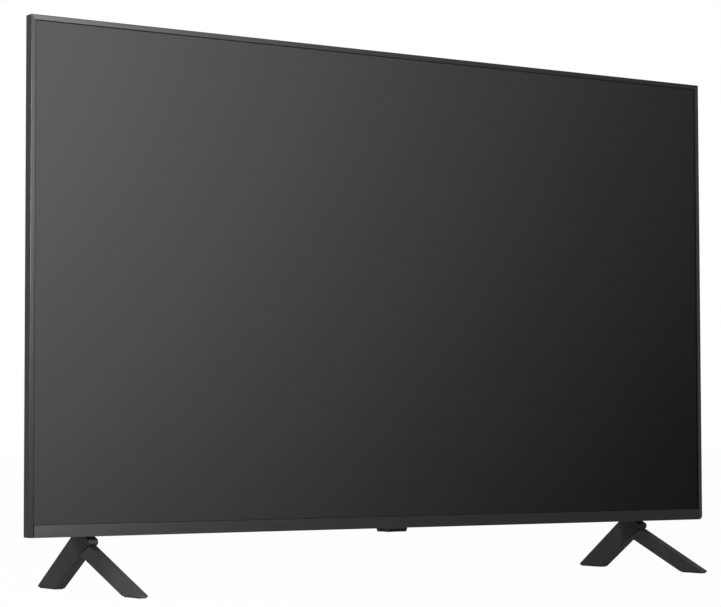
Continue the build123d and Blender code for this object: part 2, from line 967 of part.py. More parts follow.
def make_power_board():
    """Power board with its plugs, filter coil and cooling plates."""
    with BuildPart() as power_board:
        make_board((power_low_x, power_high_x), (power_low, power_high))
        side = (power_high_x - plug_width, power_high_x)
        plug(side, around(power_lead_height, plug_length))
        plug(around(led_lead_x, plug_width), (power_low, power_low + plug_length))
        plate = (board_far, board_far + transformer_height)
        for rise in (-1, 1):
            up = around(power_middle[1] + rise * transformer_length, sink_base)
            block(around(transformer_x, transformer_width), plate, up)
        coil = around(capacitor_x, transformer_window)
        block(coil, plate, around(power_high - plug_length, plug_length))
    return power_board


def make_transformer():
    """Ferrite core with a bobbin through its window, standing on the power board."""
    far = board_far + transformer_height
    with BuildPart() as transformer:
        across = around(transformer_x, transformer_width)
        up = around(power_middle[1], transformer_length)
        block(across, (board_far, far), up)
        for side in (-1, 1):
            window = around(transformer_x + side * transformer_width / 4, transformer_window)
            depth = around((board_far + far) / 2, transformer_window)
            block(window, depth, grow(up, overrun), Mode.SUBTRACT)
        bobbin = grow(around(transformer_x, transformer_width / 2), seam)
        depth = around((board_far + far) / 2, transformer_height - transformer_window / 2)
        block(bobbin, depth, grow(up, transformer_window / 4))
    return transformer


def make_capacitors():
    """Row of upright capacitors on the power board."""
    with BuildPart() as capacitors:
        with BuildSketch(facing(board_far + capacitor_length)) as cans:
            with Locations((capacitor_x, power_middle[1])):
                with GridLocations(capacitor_pitch, capacitor_pitch, 1, capacitor_count):
                    Circle(capacitor_radius)
        extrude(cans.sketch, amount=capacitor_length)
        rims = capacitors.edges().group_by(Axis.Y)[-1]
        fillet(rims, radius=capacitor_edge_round)
    return capacitors


def make_timing_board():
    """Timing board that drives the panel, with one plug in and two out."""
    half = timing_half_width
    with BuildPart() as timing_board:
        make_board((-half, half), (timing_low, timing_high))
        middle = (timing_low + timing_high) / 2
        up = around(middle, chip_size / 2)
        block(around(0, chip_size / 2), (board_far, board_far + chip_height), up)
        across = (ribbon_middle_x, ribbon_middle_x + display_cable_width)
        block(across, (board_far, cable_depth), (timing_high - plug_width, timing_high))
        for side in (-1, 1):
            across = around(side * ribbon_middle_x, ribbon_width)
            block(across, (board_far, cable_depth), (timing_low, timing_low + plug_width))
    return timing_board


def make_board_posts():
    """Posts on the tray under every corner of the three boards."""
    bore = board_screw_radius + thread_clearance
    return make_posts(board_points(), board_post_radius, bore, (tray_far, board_near),
                      tray_far + board_standoff / 4)


def make_board_screws():
    """Screws that hold the three boards."""
    shank = (tray_far + board_standoff / 2, board_far)
    return make_screws(board_points(), board_screw_radius, shank, board_screw_head,
                       board_screw_head_height)


def socket_limits(breadth, height, depth, length):
    """Limits of a socket on the main board's edge, its mouth just inside the bay."""
    mouth = bay_low_x + socket_proud
    return (mouth - length, mouth), (board_far, board_far + depth), around(height, breadth)


def make_metal_sockets(kind, length, wall, tongue):
    """Sockets of one kind: a thin shell with a tongue standing in its opening."""
    with BuildPart() as sockets:
        for name, height, breadth, depth in main_sockets():
            if name == kind:
                x, along, up = socket_limits(breadth, height, depth, length)
                block(x, along, up)
                cavity = (x[0] + wall + tongue_margin, x[1] + overrun)
                block(cavity, grow(along, -wall), grow(up, -wall), Mode.SUBTRACT)
                middle = (along[0] + along[1]) / 2
                reach = (x[0] + wall, x[1] - tongue_margin)
                margin = -wall - tongue_margin
                block(reach, around(middle, tongue), grow(up, margin))
    return sockets


def make_lan_socket():
    """Network socket with a square opening."""
    with BuildPart() as lan_socket:
        for name, height, breadth, depth in main_sockets():
            if name == "lan":
                x, along, up = socket_limits(breadth, height, depth, lan_length)
                block(x, along, up)
                middle = (along[0] + along[1]) / 2
                cavity = (x[1] - lan_opening_depth, x[1] + overrun)
                block(cavity, around(middle, lan_opening_height),
                      around(height, lan_opening_width), Mode.SUBTRACT)
    return lan_socket


def make_aerial_socket():
    """Aerial socket: a square base with a round barrel that reaches into the bay."""
    with BuildPart() as aerial_socket:
        for name, height, breadth, depth in main_sockets():
            if name == "aerial":
                x, along, up = socket_limits(breadth, height, depth, lan_length)
                block(x, along, up)
                middle = (along[0] + along[1]) / 2
                with BuildSketch(from_side(x[1])) as barrel:
                    with Locations((middle, height)):
                        Circle(aerial_radius)
                extrude(barrel.sketch, amount=aerial_length)
                with BuildSketch(from_side(x[1] + aerial_length - aerial_bore_depth)) as bore:
                    with Locations((middle, height)):
                        Circle(aerial_bore)
                extrude(bore.sketch, amount=aerial_bore_depth + overrun, mode=Mode.SUBTRACT)
    return aerial_socket


def make_inlet():
    """Mains inlet: a rounded opening with two pins."""
    mouth = inlet_bay_high_x - socket_proud
    middle = board_far + inlet_height / 2
    floor = mouth + inlet_opening_depth
    with BuildPart() as mains_inlet:
        x = (mouth, mouth + inlet_length)
        up = around(inlet_height_middle, inlet_width)
        block(x, (board_far, board_far + inlet_height), up)
        with BuildSketch(from_side(mouth - overrun)) as opening:
            with Locations((middle, inlet_height_middle)):
                SlotOverall(inlet_opening_width, inlet_opening_height, rotation=90)
        extrude(opening.sketch, amount=inlet_opening_depth + overrun, mode=Mode.SUBTRACT)
        with BuildSketch(from_side(floor - inlet_pin_length)) as pins:
            with Locations((middle, inlet_height_middle)):
                with GridLocations(inlet_pin_spacing, inlet_pin_spacing, 1, 2):
                    Circle(inlet_pin_radius)
        extrude(pins.sketch, amount=inlet_pin_length)
    return mains_inlet


wifi_x = (-timing_half_width / 2, 0)
wifi_height = (main_low, main_low + plug_length)


def make_wifi_module():
    """Wireless module stuck to the tray, with a screening can and a plug."""
    with BuildPart() as wifi_module:
        block(wifi_x, (tray_far, tray_far + board_thickness), wifi_height)
        can = (wifi_x[0] + plug_width / 4, wifi_x[0] + plug_length)
        top = tray_far + board_thickness + chip_height
        block(can, (tray_far + board_thickness, top), grow(wifi_height, -plug_width / 4))
        across = (wifi_x[1] - plug_width, wifi_x[1])
        block(across, (tray_far + board_thickness, top), around(wifi_middle, plug_width))
    return wifi_module


wifi_middle = (wifi_height[0] + wifi_height[1]) / 2
speaker_top = speaker_low + speaker_height
speaker_far = speaker_near + speaker_depth


def driver_slot(height, length, width):
    """Level oval under one loudspeaker, returned as a sketch for the side it is drawn on."""
    outlines = []
    for side in (-1, 1):
        with BuildSketch(level(height)) as outline:
            with Locations((side * speaker_middle_x, speaker_middle_depth)):
                SlotOverall(length, width)
        outlines.append(outline.sketch)
    return outlines


def side_index(side):
    """Place of a side in a pair that runs from left to right."""
    return (side + 1) // 2


def make_speaker(side):
    """Sealed loudspeaker box with two ears and an oval opening below."""
    middle = side * speaker_middle_x
    across = around(middle, speaker_width)
    depth = (speaker_near, speaker_far)
    up = (speaker_low, speaker_top)
    ears = [point for point in speaker_ears() if point[0] * side > 0]
    with BuildPart() as speaker:
        block(across, depth, up)
        block(grow(across, -speaker_wall), grow(depth, -speaker_wall), grow(up, -speaker_wall),
              Mode.SUBTRACT)
        slot_length = driver_length - 2 * driver_rim_width
        slot_width = driver_width - 2 * driver_rim_width
        opening = driver_slot(speaker_low - overrun, slot_length, slot_width)[side_index(side)]
        extrude(opening, amount=speaker_wall + 2 * overrun, mode=Mode.SUBTRACT)
        ear_depth = around(speaker_middle_depth, speaker_ear_thickness)
        for x, height in ears:
            block(around(x, speaker_ear), ear_depth, around(height, speaker_ear))
        rods(ears, bush_radius, grow(ear_depth, overrun), Mode.SUBTRACT)
    return speaker


def make_driver(side):
    """Oval loudspeaker driver: rim, dished cone and magnet."""
    index = side_index(side)
    base = speaker_low + speaker_wall
    top = base + driver_rim + cone_depth
    mouth_length = driver_length - 2 * driver_rim_width
    mouth_width = driver_width - 2 * driver_rim_width
    with BuildPart() as driver:
        extrude(driver_slot(base, driver_length, driver_width)[index], amount=driver_rim)
        wide = driver_slot(base + driver_rim, mouth_length + driver_rim, mouth_width + driver_rim)
        loft([wide[index], driver_slot(top, cone_length, cone_width)[index]])
        dish = driver_slot(base, mouth_length - driver_rim, mouth_width - driver_rim)[index]
        inner = (cone_length - 2 * driver_rim, cone_width - 2 * driver_rim)
        tip = driver_slot(top - driver_rim, *inner)[index]
        loft([dish, tip], mode=Mode.SUBTRACT)
        across = around(side * speaker_middle_x, magnet_length)
        depth = around(speaker_middle_depth, magnet_width)
        block(across, depth, (top, top + magnet_height))
    return driver


def make_bushes():
    """Rubber bushes that carry the loudspeakers on the tray's pegs."""
    depth = around(speaker_middle_depth, bush_length)
    with BuildPart() as speaker_bushes:
        rods(speaker_ears(), bush_radius, depth)
        rods(speaker_ears(), bush_bore, grow(depth, overrun), Mode.SUBTRACT)
    return speaker_bushes


window_x = (-window_half_width, window_half_width)
window_height = (-window_low_drop, -window_high_drop)
board_half = receiver_top_width / 2 - receiver_wall - seam
receiver_inner = (receiver_near + receiver_wall, receiver_far - receiver_wall)
window_far = receiver_lip_near + receiver_wall
receiver_floor = receiver_wall - receiver_drop
receiver_board_top = receiver_board_height + receiver_board_thickness


def receiver_outline(inset, low, high):
    """Front outline of the receiver housing, narrowing downwards."""
    top = receiver_top_width / 2 - inset
    foot = receiver_low_width / 2 - inset
    return [(-top, high), (top, high), (top, 0), (foot, low), (-foot, low), (-top, 0)]


def add_receiver_lip(inset, near, far, low, mode=Mode.ADD):
    """Part of the housing that reaches forward under the chin, or the hollow in it."""
    top = receiver_top_width / 2 - inset
    foot = receiver_low_width / 2 - inset
    high = -seam - inset
    with BuildSketch(facing(far)) as outline:
        with BuildLine():
            Polyline((-top, high), (top, high), (foot, low), (-foot, low), close=True)
        make_face()
    extrude(outline.sketch, amount=far - near, mode=mode)


def make_receiver_housing():
    """Housing under the middle of the set, open at the top, for the sensor and the button."""
    with BuildPart() as receiver_housing:
        with BuildSketch(facing(receiver_far)):
            with BuildLine():
                Polyline(*receiver_outline(0, -receiver_drop, receiver_rise), close=True)
            make_face()
        extrude(amount=receiver_depth)
        with BuildSketch(facing(receiver_inner[1])):
            with BuildLine():
                high = receiver_rise + overrun
                Polyline(*receiver_outline(receiver_wall, receiver_floor, high), close=True)
            make_face()
        extrude(amount=receiver_inner[1] - receiver_inner[0], mode=Mode.SUBTRACT)
        add_receiver_lip(0, receiver_lip_near, receiver_near, -receiver_drop)
        add_receiver_lip(receiver_wall, window_far, receiver_inner[0] + overrun, receiver_floor,
                         Mode.SUBTRACT)
        end = receiver_top_width / 2 - receiver_wall
        for side in (-1, 1):
            across = sorted((side * end, side * (end - receiver_ledge)))
            block(across, receiver_inner, (0, receiver_board_height))
        front = (receiver_lip_near - overrun, window_far)
        block(window_x, front, window_height, Mode.SUBTRACT)
        with BuildSketch(level(-receiver_drop - overrun)):
            with Locations((0, button_depth)):
                margin = 2 * button_clearance
                SlotOverall(button_length + margin, button_width + margin)
        extrude(amount=receiver_wall + 2 * overrun, mode=Mode.SUBTRACT)
    return receiver_housing


def make_window():
    """Dark window in front of the remote control sensor."""
    with BuildPart() as ir_window:
        block(grow(window_x, -thread_clearance), (receiver_lip_near, window_far),
              grow(window_height, -thread_clearance))
    return ir_window


def make_receiver_board():
    """Small board with the sensor and the switch below it and a plug above."""
    with BuildPart() as receiver_board:
        block((-board_half, board_half), grow(receiver_inner, -seam),
              (receiver_board_height, receiver_board_top))
        across = around(-sensor_x, plug_width)
        depth = around(button_depth, switch_size)
        block(across, depth, (receiver_board_top, receiver_board_top + plug_width / 2))
    return receiver_board


def make_sensor():
    """Remote control sensor with a round lens that faces the window."""
    near = receiver_inner[0] + seam + sensor_lens_radius / 2
    with BuildPart() as ir_sensor:
        up = (receiver_board_height - sensor_height, receiver_board_height)
        block(around(sensor_x, sensor_width), (near, near + sensor_depth), up)
        middle = (up[0] + up[1]) / 2
        rods([(sensor_x, middle)], sensor_lens_radius, (near - sensor_lens_radius / 2, near))
    return ir_sensor


switch_low = receiver_board_height - switch_height
flange_low = receiver_floor + seam / 2
flange_top = flange_low + button_flange_thickness


def make_switch():
    """Press switch under the receiver board, with a well for its plunger."""
    with BuildPart() as tact_switch:
        block(around(0, switch_size), around(button_depth, switch_size),
              (switch_low, receiver_board_height))
        with BuildSketch(level(switch_low - overrun)):
            with Locations((0, button_depth)):
                Circle(switch_well_radius)
        extrude(amount=switch_well_depth + overrun, mode=Mode.SUBTRACT)
    return tact_switch


def make_plunger():
    """Plunger that the button pushes up into the switch."""
    top = switch_low + switch_well_depth - button_travel - seam
    with BuildPart() as switch_plunger:
        with BuildSketch(level(flange_top)):
            with Locations((0, button_depth)):
                Circle(plunger_radius)
        extrude(amount=top - flange_top)
    return switch_plunger


def make_button():
    """Power button with a flange that keeps it in the housing."""
    low = -receiver_drop - button_proud
    with BuildPart() as power_button:
        with BuildSketch(level(low)):
            with Locations((0, button_depth)):
                SlotOverall(button_length, button_width)
        extrude(amount=flange_low - low)
        fillet(power_button.edges().group_by(Axis.Z)[0], radius=button_proud / 2)
        with BuildSketch(level(flange_low)):
            with Locations((0, button_depth)):
                margin = 2 * button_flange
                SlotOverall(button_length + margin, button_width + margin)
        extrude(amount=button_flange_thickness)
    return power_button


sole = pad_thickness - foot_height
rear_toe = stand_depth / 2 + screen_lead
front_toe = screen_lead - stand_depth / 2
rear_heel = rear_toe - rear_sole
front_heel = front_toe + front_sole
hip = (hip_depth, -hip_drop)
hip_contact = (
    hip_depth + hip_contact_share * (rear_heel - hip_depth),
    -hip_drop + hip_contact_share * (sole + hip_drop),
)
front_slope = degrees(atan2(-collar_drop - sole - toe_height, collar_depth - front_toe))
tenon_middle = (hip_depth, tenon_lift - hip_drop)


def leg_ends(middle):
    """Limits across of a rear leg and of the front leg flush with its left face."""
    low = middle - rear_leg_thickness / 2
    return (low, low + rear_leg_thickness), (low, low + front_leg_thickness)


def add_tenon(low, length, height, thickness, mode):
    """Bar that joins the front leg to the rear leg, or the pocket for it."""
    with BuildSketch(from_side(low + (front_leg_thickness - thickness) / 2)) as bar:
        with Locations(tenon_middle):
            Rectangle(length, height, rotation=front_slope)
    extrude(bar.sketch, amount=thickness, mode=mode)


def make_rear_leg(side):
    """Rear leg with its rounded nose, its sole and the tongue that enters the set."""
    middle = side * leg_middle_x
    low = leg_ends(middle)[0][0]
    with BuildPart() as rear_leg:
        with BuildSketch(from_side(low)) as outline:
            with BuildLine():
                Polyline(
                    (neck_rear, neck_rise),
                    (neck_front, neck_rise),
                    (shoulder_depth, -shoulder_drop),
                    (nose_depth, -nose_top_drop),
                    (nose_depth, -nose_low_drop),
                    hip,
                    (rear_heel, sole),
                    (rear_toe, sole),
                    (rear_toe, sole + toe_height),
                    (neck_rear, 0),
                    close=True,
                )
            make_face()
            fillet(outline.vertices().sort_by(Axis.X)[0:2], radius=nose_round)
            fillet(outline.vertices().sort_by(Axis.X)[-2:], radius=toe_round)
        extrude(amount=rear_leg_thickness)
        faces = rear_leg.faces().sort_by(Axis.X)
        fillet(faces[0].edges() + faces[-1].edges(), radius=leg_edge_round)
        across = around(middle, tongue_width)
        block(across, (tongue_near, tongue_far), (0, tongue_height))
        points = [point for point in foot_screw_points() if point[0] * side > 0]
        bore = foot_screw_radius + thread_clearance
        near = foot_screw_end - seam
        rods(points, bore, (near, tongue_far + overrun), Mode.SUBTRACT)
        margin = 2 * tenon_clearance
        add_tenon(low, tenon_length + margin, tenon_height + margin, tenon_thickness + margin,
                  Mode.SUBTRACT)
    return rear_leg


bracket_far = tongue_far + bracket_clearance + bracket_wall
foot_screw_end = bracket_far - foot_screw_length


def make_front_leg(side):
    """Front leg, a flat bar with a blunt toe and a tenon at its upper end."""
    low = leg_ends(side * leg_middle_x)[1][0]
    with BuildPart() as front_leg:
        with BuildSketch(from_side(low)) as outline:
            with BuildLine():
                Polyline(
                    (collar_depth, -collar_drop),
                    hip_contact,
                    (front_heel, sole),
                    (front_toe, sole),
                    (front_toe, sole + toe_height),
                    close=True,
                )
            make_face()
            fillet(outline.vertices().sort_by(Axis.X)[0:2], radius=toe_round)
        extrude(amount=front_leg_thickness)
        faces = front_leg.faces().sort_by(Axis.X)
        fillet(faces[0].edges() + faces[-1].edges(), radius=leg_edge_round)
        add_tenon(low, tenon_length, tenon_height, tenon_thickness, Mode.ADD)
    return front_leg


def make_pads():
    """Rubber pads under the four soles."""
    floor = (-foot_height, sole)
    with BuildPart() as foot_pads:
        for side in (-1, 1):
            rear, front = leg_ends(side * leg_middle_x)
            along = (rear_heel + pad_inset, rear_toe - pad_inset)
            block(grow(rear, -pad_inset), along, floor)
            along = (front_toe + pad_inset, front_heel - pad_inset)
            block(grow(front, -pad_inset), along, floor)
    return foot_pads


def make_foot_bracket(side):
    """Steel socket on the tray that the tongue of a foot slides into."""
    middle = side * leg_middle_x
    inner = grow(around(middle, tongue_width), bracket_clearance)
    outer = grow(inner, bracket_wall)
    near = tongue_near - bracket_clearance
    inner_far = tongue_far + bracket_clearance
    with BuildPart() as foot_bracket:
        plate = around(middle, bracket_plate_width)
        plate_height = (bracket_plate_low, bracket_plate_high)
        block(plate, (tray_far, tray_far + bracket_wall), plate_height)
        block(outer, (near - bracket_wall, bracket_far), (bracket_low, bracket_high))
        block(inner, (near, inner_far), (bracket_low - overrun, bracket_high - bracket_wall),
              Mode.SUBTRACT)
        for web in ((outer[0], inner[0]), (inner[1], outer[1])):
            block(web, (tray_far, near), (bracket_plate_low, bracket_high))
        points = [point for point in foot_screw_points() if point[0] * side > 0]
        hole = foot_screw_radius + seam
        rods(points, hole, (inner_far - overrun, bracket_far + overrun), Mode.SUBTRACT)
    return foot_bracket


def make_foot_screws():
    """Screws that hold the tongues in their brackets."""
    shank = (foot_screw_end, bracket_far)
    return make_screws(foot_screw_points(), foot_screw_radius, shank, foot_screw_head,
                       foot_screw_head_height)


def largest_bends(route):
    """Radius at each corner of a route that its two runs leave room for."""
    radii = []
    for before, corner, after in zip(route, route[1:], route[2:]):
        first = corner - before
        second = after - corner
        half_turn = radians(first.get_angle(second)) / 2
        radii.append(bend_share * min(first.length, second.length) / tan(half_turn))
    return radii


def add_lead(points, radius):
    """Round lead along straight runs joined by arcs; its volume is compared with its length."""
    route = [Vector(x, front_y + depth, base_z + height) for x, depth, height in points]
    radii = largest_bends(route)
    with BuildLine() as line:
        FilletPolyline(*route, radius=radii)
    path = line.wires()[0]
    with BuildSketch(Plane(origin=path @ 0, z_dir=path % 0)) as end:
        Circle(radius)
    lead = sweep(end.sketch, path=path)
    print("lead length", round(path.length, 1), "radii", [round(bend, 1) for bend in radii],
          "volume share", round(lead.volume / (end.sketch.area * path.length), 4))


def make_power_lead():
    """Lead from the power board to the main board."""
    height = power_lead_height
    sag = lead_radius * 3
    with BuildPart() as power_lead:
        add_lead(
            [
                (power_high_x, lead_depth, height),
                (power_high_x + plug_length, lead_depth, height),
                (power_high_x / 4, lead_depth, height - sag),
                (main_low_x / 4, lead_depth, height + sag),
                (main_low_x - plug_length, lead_depth, height),
                (main_low_x, lead_depth, height),
            ],
            lead_radius,
        )
    return power_lead


def make_led_lead():
    """Short lead from the power board through the tray to the lowest light bar."""
    with BuildPart() as led_lead:
        add_lead(
            [
                (led_lead_x, lead_depth, power_low),
                (led_lead_x, lead_depth, led_lead_height),
                (led_lead_x, tray_inner_far, led_lead_height),
            ],
            led_lead_radius,
        )
    return led_lead


def make_speaker_leads():
    """Leads from the main board to the two loudspeakers."""
    right = right_speaker_lead_x
    left = left_speaker_lead_x
    aside = speaker_middle_x - plug_length
    turn = (timing_high + vesa_height - vesa_spacing / 2 - vesa_boss_radius) / 2
    drop = (turn + speaker_top) / 2
    end_depth = speaker_middle_depth
    behind = tray_far + thin_lead_radius + seam
    with BuildPart() as speaker_leads:
        add_lead(
            [
                (right, lead_depth, main_low),
                (right, lead_depth, turn),
                (aside, end_depth, drop),
                (aside, end_depth, speaker_top),
            ],
            thin_lead_radius,
        )
        add_lead(
            [
                (left, lead_depth, main_low),
                (left, lead_depth, main_low - plug_length / 2),
                (left - plug_length, behind, turn),
                (plug_length - aside, behind, turn),
                (-aside, end_depth, drop),
                (-aside, end_depth, speaker_top),
            ],
            thin_lead_radius,
        )
    return speaker_leads


def make_receiver_lead():
    """Lead from the receiver board up to the main board."""
    start = receiver_board_top + plug_width / 2
    behind = tray_far + plug_width / 3
    low = timing_low / 2
    x = receiver_lead_x
    with BuildPart() as receiver_lead:
        add_lead(
            [
                (-sensor_x, button_depth, start),
                (-sensor_x, button_depth, start + plug_width / 2),
                (-sensor_x / 2, behind, low),
                (timing_half_width, behind, low),
                (x, lead_depth, timing_high - plug_length),
                (x, lead_depth, main_low),
            ],
            thin_lead_radius,
        )
    return receiver_lead


def make_wifi_lead():
    """Lead from the wireless module to the main board."""
    depth = tray_far + board_thickness + thin_lead_radius
    with BuildPart() as wifi_lead:
        add_lead(
            [
                (wifi_x[1], depth, wifi_middle),
                (wifi_x[1] + plug_length, depth, wifi_middle),
                (main_low_x - plug_length, lead_depth, wifi_lead_height),
                (main_low_x, lead_depth, wifi_lead_height),
            ],
            thin_lead_radius,
        )
    return wifi_lead


def make_display_cable():
    """Flat cable folded once between the main board and the timing board."""
    depth = (cable_depth, cable_depth + display_cable_thickness)
    top = display_cable_low + display_cable_width
    across = (ribbon_middle_x, ribbon_middle_x + display_cable_width)
    with BuildPart() as display_cable:
        block((ribbon_middle_x, main_low_x + plug_width), depth, (display_cable_low, top))
        block(across, depth, (timing_high - plug_width, top))
    return display_cable


def make_panel_ribbons():
    """Flat ribbons from the timing board round the tray to the panel's lower edge."""
    half = ribbon_thickness / 2
    under = guide_low + guide_skirt + sheet_clearance / 2
    above = cover_low + cover_wall + sheet_clearance / 2
    rear = cable_depth + half
    near = panel_far + half
    with BuildPart() as panel_ribbons:
        for side in (-1, 1):
            low_x = side * ribbon_middle_x - ribbon_width / 2
            with BuildSketch(from_side(low_x)) as section:
                with BuildLine():
                    Polyline(
                        (near, guide_sill - guide_ledge),
                        (near, under),
                        (flange_far + tray_sheet, under),
                        (bezel_depth - seam, above),
                        (tray_far + board_standoff / 2, above),
                        (rear, timing_low / 3),
                        (rear, timing_low + plug_width),
                    )
                trace(line_width=ribbon_thickness)
            extrude(section.sketch, amount=ribbon_width)
    return panel_ribbons


def write(piece, name):
    """Label a finished piece and write it to its own file."""
    piece.part.label = name
    export_step(piece.part, f"parts/{name}.step")


os.makedirs("parts", exist_ok=True)
write(make_panel(), "lcd_panel")
write(make_side_bezel(-1), "bezel_left")
write(make_side_bezel(1), "bezel_right")
write(make_top_bezel(), "bezel_top")
write(make_chin(), "bottom_chin")
write(make_gasket(), "panel_gasket")
write(make_guide_frame(), "guide_frame")
write(make_sheet(ledge_far, prism_far), "prism_film")
write(make_sheet(prism_far, film_far), "diffuser_film")
write(make_sheet(film_far, diffuser_far), "diffuser_plate")
write(make_chassis(), "back_chassis")
write(make_reflector(), "reflector_sheet")
write(make_led_bars(), "led_bars")
write(make_lenses(), "led_lenses")
write(make_cover(), "rear_cover")
write(make_inlet_plate(), "inlet_plate")
write(make_cover_posts(), "cover_posts")
write(make_cover_screws(), "cover_screws")
write(make_vesa_nuts(), "vesa_nuts")
write(make_main_board(), "main_board")
write(make_heat_sink(), "heat_sink")
write(make_power_board(), "power_board")
write(make_transformer(), "transformer")
write(make_capacitors(), "capacitors")
write(make_timing_board(), "timing_board")
write(make_board_posts(), "board_posts")
write(make_board_screws(), "board_screws")
write(make_wifi_module(), "wifi_module")
write(make_metal_sockets("hdmi", hdmi_length, hdmi_wall, hdmi_tongue), "hdmi_sockets")
write(make_metal_sockets("usb", usb_length, usb_wall, usb_tongue), "usb_sockets")
write(make_lan_socket(), "lan_socket")
write(make_aerial_socket(), "aerial_socket")
write(make_inlet(), "mains_inlet")
write(make_bushes(), "speaker_bushes")
write(make_receiver_housing(), "receiver_housing")
write(make_window(), "ir_window")
write(make_receiver_board(), "receiver_board")
write(make_sensor(), "ir_sensor")
write(make_switch(), "tact_switch")
write(make_plunger(), "switch_plunger")
write(make_button(), "power_button")
write(make_pads(), "foot_pads")
write(make_foot_screws(), "foot_screws")
write(make_power_lead(), "power_lead")
write(make_led_lead(), "led_lead")
write(make_speaker_leads(), "speaker_leads")
write(make_receiver_lead(), "receiver_lead")
write(make_wifi_lead(), "wifi_lead")
write(make_display_cable(), "display_cable")
write(make_panel_ribbons(), "panel_ribbons")
for side, hand in ((-1, "left"), (1, "right")):
    write(make_speaker(side), f"speaker_{hand}")
    write(make_driver(side), f"speaker_{hand}_driver")
    write(make_rear_leg(side), f"foot_{hand}_rear_leg")
    write(make_front_leg(side), f"foot_{hand}_front_leg")
    write(make_foot_bracket(side), f"foot_{hand}_bracket")
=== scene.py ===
from math import cos, radians, sin
import bpy
from mathutils import Matrix, Vector

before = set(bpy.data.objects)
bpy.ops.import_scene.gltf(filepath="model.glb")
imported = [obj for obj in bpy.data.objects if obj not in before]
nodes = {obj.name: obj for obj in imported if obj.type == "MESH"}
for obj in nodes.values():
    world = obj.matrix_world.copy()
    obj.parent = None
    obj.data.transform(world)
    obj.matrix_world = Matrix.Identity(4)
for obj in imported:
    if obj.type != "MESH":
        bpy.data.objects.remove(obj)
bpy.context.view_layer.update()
scene = bpy.context.scene
scene.view_settings.view_transform = "Standard"

# Camera, solved from the outer edges of the set in the photograph. Its place is in metres.
photo_width = 721
photo_middle = (360.5, 303.5)
focal_pixels = 2425.52
middle_pixel = (357.8, 303.7)
yaw = radians(34.56541)
pitch = radians(3.15409)
roll = radians(-0.12627)
eye = Vector((-1.66634, -2.35539, 0.16898))
sensor_width = 36.0
nearest_seen = 0.05
farthest_seen = 60.0

# Sockets of the colour mix node that carry colours
first_colour = 6
second_colour = 7
mixed_colour = 2

# Scale of a pattern that is drawn out along the width, or along the height, of the set
across = (0.02, 1.0, 1.0)
upright = (1.0, 1.0, 0.02)

white = (1.0, 1.0, 1.0)

# Surround: the white that is seen, and the softer light that it casts
seen_strength = 1.0
cast_strength = 0.6

# Floor, in metres: mostly the same white, and for a small share a surface that takes shadow
floor_reach = 20.0
floor_colour = (0.82, 0.82, 0.82)
floor_roughness = 0.9
floor_specular = 0.1
floor_glow = 1.0
floor_white_share = 0.97


def make_camera():
    """Camera at the photograph's place and angle."""
    data = bpy.data.cameras.new("camera")
    data.sensor_width = sensor_width
    data.lens = focal_pixels / photo_width * sensor_width
    data.shift_x = (photo_middle[0] - middle_pixel[0]) / photo_width
    data.shift_y = (middle_pixel[1] - photo_middle[1]) / photo_width
    data.clip_start = nearest_seen
    data.clip_end = farthest_seen
    ahead = Vector((sin(yaw) * cos(pitch), cos(yaw) * cos(pitch), sin(pitch)))
    right = Vector((cos(yaw), -sin(yaw), 0.0))
    up = right.cross(ahead)
    turned_right = cos(roll) * right + sin(roll) * up
    turned_up = cos(roll) * up - sin(roll) * right
    camera = bpy.data.objects.new("camera", data)
    turn = Matrix((turned_right, turned_up, -ahead)).transposed().to_4x4()
    camera.matrix_world = Matrix.Translation(eye) @ turn
    scene.collection.objects.link(camera)
    scene.camera = camera


